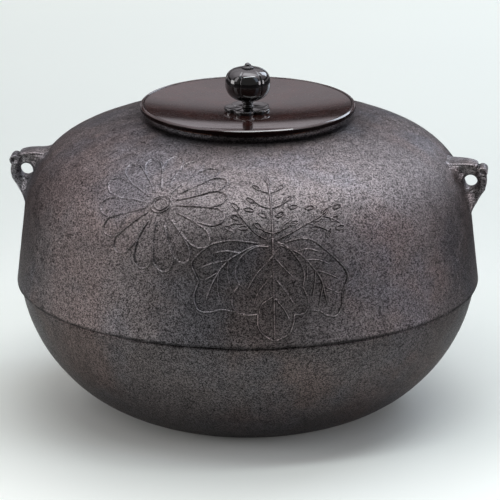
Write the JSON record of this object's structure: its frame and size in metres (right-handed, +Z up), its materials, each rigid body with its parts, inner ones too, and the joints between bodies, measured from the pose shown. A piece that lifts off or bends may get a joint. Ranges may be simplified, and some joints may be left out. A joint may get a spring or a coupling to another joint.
{
  "type": "tea kettle",
  "caption": "Round cast-iron hearth kettle with skirted shoulder, eyed lugs, lift-off dished bronze lid with lobed knob, and sounding plates inside its bottom.",
  "frame": {"origin": "centre of the kettle's flat base, on the surface it stands on", "axes": "+Z up along the kettle's axis, +X towards the right-hand lug, -Y towards the ornamented front"},
  "size_m": [0.285, 0.276, 0.2073],
  "materials": {
    "body_iron": "sand-grained casting, browned and matt",
    "bottom_iron": "sand-grained casting, browned and matt",
    "lug_iron": "cast, slightly smoother than the body",
    "plate_iron": "rough flake, rusted brown",
    "lacquer": "baked lacquer putty, near black",
    "lid_bronze": "polished and stained dark red-brown",
    "knob_bronze": "polished and stained near black"
  },
  "bodies": {
    "kettle": {"upper_body": "body_iron", "bottom_bowl": "bottom_iron", "seam_lacquer": "lacquer", "lug_left": "lug_iron", "lug_right": "lug_iron", "sounding_plate_1": "plate_iron", "sounding_plate_2": "plate_iron", "sounding_plate_3": "plate_iron", "sounding_plate_4": "plate_iron", "sounding_plate_5": "plate_iron", "plate_lacquer": "lacquer"},
    "lid": {"lid_plate": "lid_bronze", "lid_ring": "lid_bronze", "knob_seat": "knob_bronze", "back_washer": "lid_bronze"},
    "knob": {"knob_neck": "knob_bronze", "knob_body": "knob_bronze", "knob_crown": "knob_bronze", "knob_pin": "knob_bronze"}
  },
  "joints": [
    {"name": "lid_lift", "type": "slide", "parent": "kettle", "child": "lid", "axis": [0, 0, 1], "range_m": [0, 0.08]},
    {"name": "knob_turn", "type": "hinge", "parent": "lid", "child": "knob", "pos_m": [0, 0, 0.18], "axis": [0, 0, 1], "continuous": true}
  ]
}
